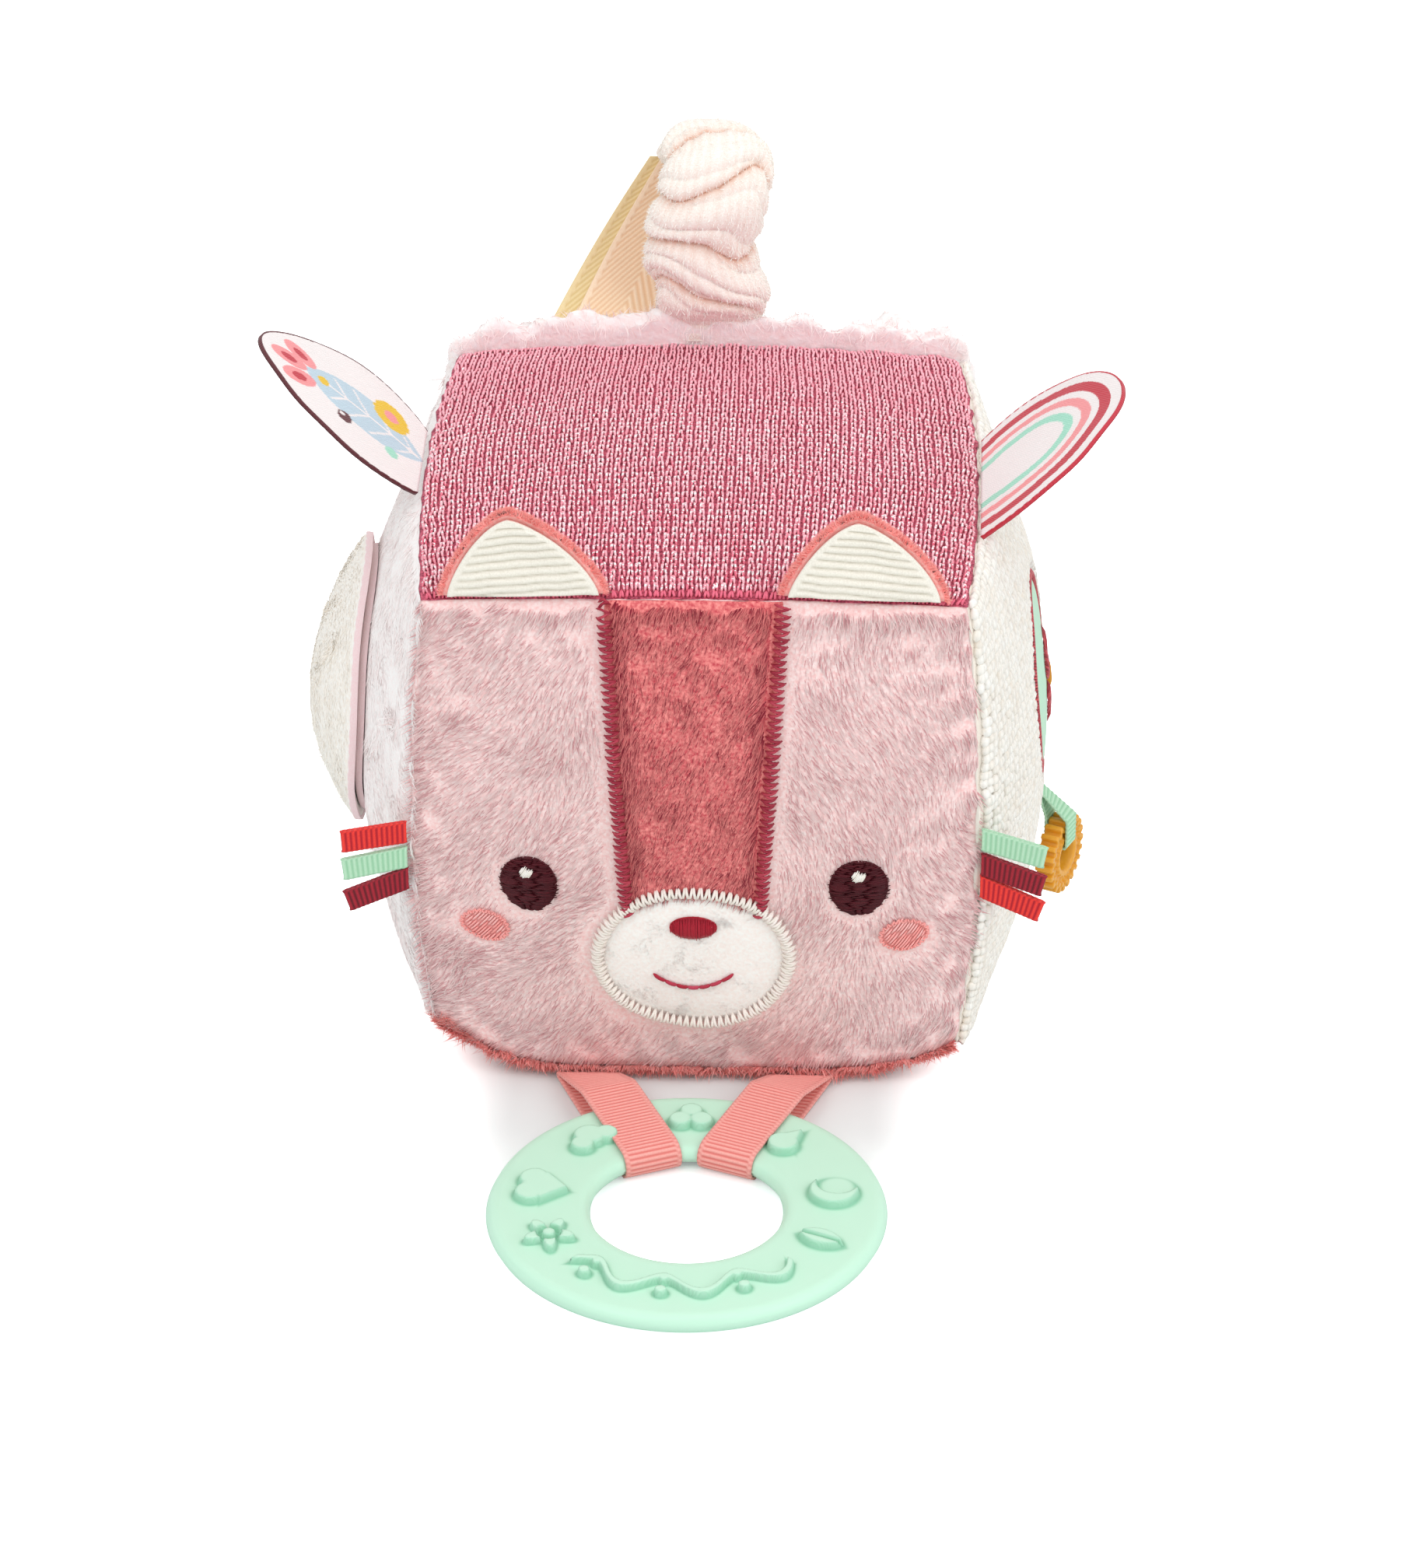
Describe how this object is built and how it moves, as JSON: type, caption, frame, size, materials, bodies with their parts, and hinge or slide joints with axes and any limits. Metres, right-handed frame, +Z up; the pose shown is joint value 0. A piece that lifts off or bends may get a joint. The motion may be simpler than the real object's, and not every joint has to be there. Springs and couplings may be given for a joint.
{
  "type": "soft fabric activity block",
  "caption": "Stuffed fabric activity cube with an animal face, ears, carrying loop, woven tags, ribbon loops, a mirror under a flap and a teething ring on ribbons.",
  "frame": {"origin": "centre of the flat resting face, on the floor", "axes": "+Z up; the face looks along -Y, where the teething ring lies; +X is the viewer's right"},
  "size_m": [0.2221, 0.2945, 0.1996],
  "materials": {
    "front_plush": "short pile plush, light pink",
    "coral_plush": "short pile plush, coral",
    "blush_plush": "short pile plush, blush white",
    "cream_plush": "short pile plush, cream",
    "white_plush": "short pile plush, white",
    "pink_fur": "long pile fur fabric, pale pink",
    "chenille": "chenille knit, cream",
    "jersey": "jersey knit with silver thread, raspberry",
    "filling": "polyester fibre filling",
    "rattle_plastic": "moulded polypropylene",
    "rattle_bead": "glossy bead",
    "dark_thread": "satin stitch, dark wine",
    "white_thread": "satin stitch, white",
    "rose_thread": "satin stitch, rose",
    "crimson_thread": "satin stitch, crimson",
    "corduroy": "corduroy, cream",
    "velour": "gathered velour, cream",
    "elastic": "flat woven elastic",
    "cotton_tape": "herringbone cotton tape",
    "woven_satin": "woven satin with coloured weft",
    "red_ribbon": "grosgrain ribbon, red",
    "mint_ribbon": "grosgrain ribbon, mint",
    "wine_ribbon": "grosgrain ribbon, wine",
    "coral_ribbon": "grosgrain ribbon, coral",
    "mirror_foil": "mirror foil on foam",
    "rose_cotton": "printed cotton, rose",
    "mint_cotton": "cotton, mint",
    "coral_thread": "satin stitch, coral",
    "ring_plastic": "moulded plastic, mustard",
    "silicone": "moulded silicone, mint, matt"
  },
  "bodies": {
    "block": {"front_panel": "front_plush", "back_panel": "pink_fur", "left_panel": "blush_plush", "right_panel": "chenille", "top_panel": "jersey", "bottom_panel": "coral_plush", "fibre_filling": "filling", "rattle_cup": "rattle_plastic", "rattle_lid": "rattle_plastic", "centre_stripe": "coral_plush", "muzzle_patch": "white_plush", "eye_left": "dark_thread", "eye_right": "dark_thread", "eye_glint_left": "white_thread", "eye_glint_right": "white_thread", "cheek_left": "rose_thread", "cheek_right": "rose_thread", "nose": "crimson_thread", "mouth": "crimson_thread", "mirror_disc": "mirror_foil", "mirror_rim": "rose_cotton", "side_patch": "mint_cotton", "side_patch_border": "coral_thread"},
    "rattle_ball": {"rattle_ball": "rattle_bead"},
    "ring_ribbons": {"ring_ribbon_left": "coral_ribbon", "ring_ribbon_right": "coral_ribbon"},
    "teether_ring": {"teether_ring": "silicone"},
    "mirror_flap": {"mirror_flap": "cream_plush"},
    "gear_ribbon": {"gear_ribbon": "mint_ribbon"},
    "toothed_ring": {"toothed_ring": "ring_plastic"},
    "handle": {"handle_tube": "velour", "handle_elastic": "elastic", "handle_tape_front": "cotton_tape", "handle_tape_back": "cotton_tape"},
    "ear_left": {"ear_left_front": "corduroy", "ear_left_back": "coral_plush"},
    "ear_right": {"ear_right_front": "corduroy", "ear_right_back": "coral_plush"},
    "tag_left": {"tag_left": "woven_satin"},
    "tag_right": {"tag_right": "woven_satin"},
    "whisker_left_red": {"whisker_left_red": "red_ribbon"},
    "whisker_left_mint": {"whisker_left_mint": "mint_ribbon"},
    "whisker_left_wine": {"whisker_left_wine": "wine_ribbon"},
    "whisker_right_mint": {"whisker_right_mint": "mint_ribbon"},
    "whisker_right_wine": {"whisker_right_wine": "wine_ribbon"},
    "whisker_right_red": {"whisker_right_red": "red_ribbon"}
  },
  "joints": [
    {"name": "ribbon_swing", "type": "hinge", "parent": "block", "child": "ring_ribbons", "pos_m": [0, -0.07555, 0.00187], "axis": [-1, 0, 0], "range_deg": [-80, 45]},
    {"name": "ring_spin", "type": "hinge", "parent": "ring_ribbons", "child": "teether_ring", "pos_m": [0, -0.1415, 0.0039], "axis": [0, 0, 1], "continuous": true},
    {"name": "flap_lift", "type": "hinge", "parent": "block", "child": "mirror_flap", "pos_m": [-0.08678, 0, 0.11687], "axis": [0, 1, 0], "range_deg": [0, 95]},
    {"name": "gear_swing", "type": "hinge", "parent": "block", "child": "gear_ribbon", "pos_m": [0.09073, -0.01026, 0.05236], "axis": [0, -1, 0], "range_deg": [0, 95]},
    {"name": "gear_spin", "type": "hinge", "parent": "gear_ribbon", "child": "toothed_ring", "pos_m": [0.09636, -0.01015, 0.0329], "axis": [0.9063, -0.4226, 0], "continuous": true},
    {"name": "handle_tilt", "type": "hinge", "parent": "block", "child": "handle", "pos_m": [0, 0.0745, 0.14337], "axis": [1, 0, 0], "range_deg": [-35, 35], "stiffness_Nm_per_rad": 0.05},
    {"name": "ear_left_fold", "type": "hinge", "parent": "block", "child": "ear_left", "pos_m": [-0.0425, -0.07374, 0.14235], "axis": [0.9984, -0.0356, 0.0446], "range_deg": [-45, 45], "stiffness_Nm_per_rad": 0.01},
    {"name": "ear_right_fold", "type": "hinge", "parent": "block", "child": "ear_right", "pos_m": [0.0425, -0.07374, 0.14235], "axis": [0.9984, 0.0356, -0.0446], "range_deg": [-45, 45], "stiffness_Nm_per_rad": 0.01},
    {"name": "tag_left_bend", "type": "hinge", "parent": "block", "child": "tag_left", "pos_m": [-0.073, -0.00217, 0.14325], "axis": [-0.0033, 1, 0.0021], "range_deg": [-35, 35], "stiffness_Nm_per_rad": 0.004},
    {"name": "tag_right_bend", "type": "hinge", "parent": "block", "child": "tag_right", "pos_m": [0.07286, -0.01378, 0.14316], "axis": [0.021, 0.9997, 0.0131], "range_deg": [-35, 35], "stiffness_Nm_per_rad": 0.004},
    {"name": "whisker_left_red_bend", "type": "hinge", "parent": "block", "child": "whisker_left_red", "pos_m": [-0.07391, -0.07472, 0.07415], "axis": [0, 0, 1], "range_deg": [-35, 55], "stiffness_Nm_per_rad": 0.003},
    {"name": "whisker_left_mint_bend", "type": "hinge", "parent": "block", "child": "whisker_left_mint", "pos_m": [-0.0739, -0.07472, 0.06681], "axis": [0, 0, 1], "range_deg": [-35, 55], "stiffness_Nm_per_rad": 0.003},
    {"name": "whisker_left_wine_bend", "type": "hinge", "parent": "block", "child": "whisker_left_wine", "pos_m": [-0.07375, -0.07465, 0.06045], "axis": [0, 0, 1], "range_deg": [-35, 55], "stiffness_Nm_per_rad": 0.003},
    {"name": "whisker_right_mint_bend", "type": "hinge", "parent": "block", "child": "whisker_right_mint", "pos_m": [0.07389, -0.07472, 0.07404], "axis": [0, 0, 1], "range_deg": [-55, 35], "stiffness_Nm_per_rad": 0.003},
    {"name": "whisker_right_wine_bend", "type": "hinge", "parent": "block", "child": "whisker_right_wine", "pos_m": [0.07388, -0.07472, 0.0668], "axis": [0, 0, 1], "range_deg": [-55, 35], "stiffness_Nm_per_rad": 0.003},
    {"name": "whisker_right_red_bend", "type": "hinge", "parent": "block", "child": "whisker_right_red", "pos_m": [0.07377, -0.07467, 0.06019], "axis": [0, 0, 1], "range_deg": [-55, 35], "stiffness_Nm_per_rad": 0.003},
    {"name": "ball_slide", "type": "slide", "parent": "block", "child": "rattle_ball", "axis": [0, 0, 1], "range_m": [0, 0.012]}
  ]
}
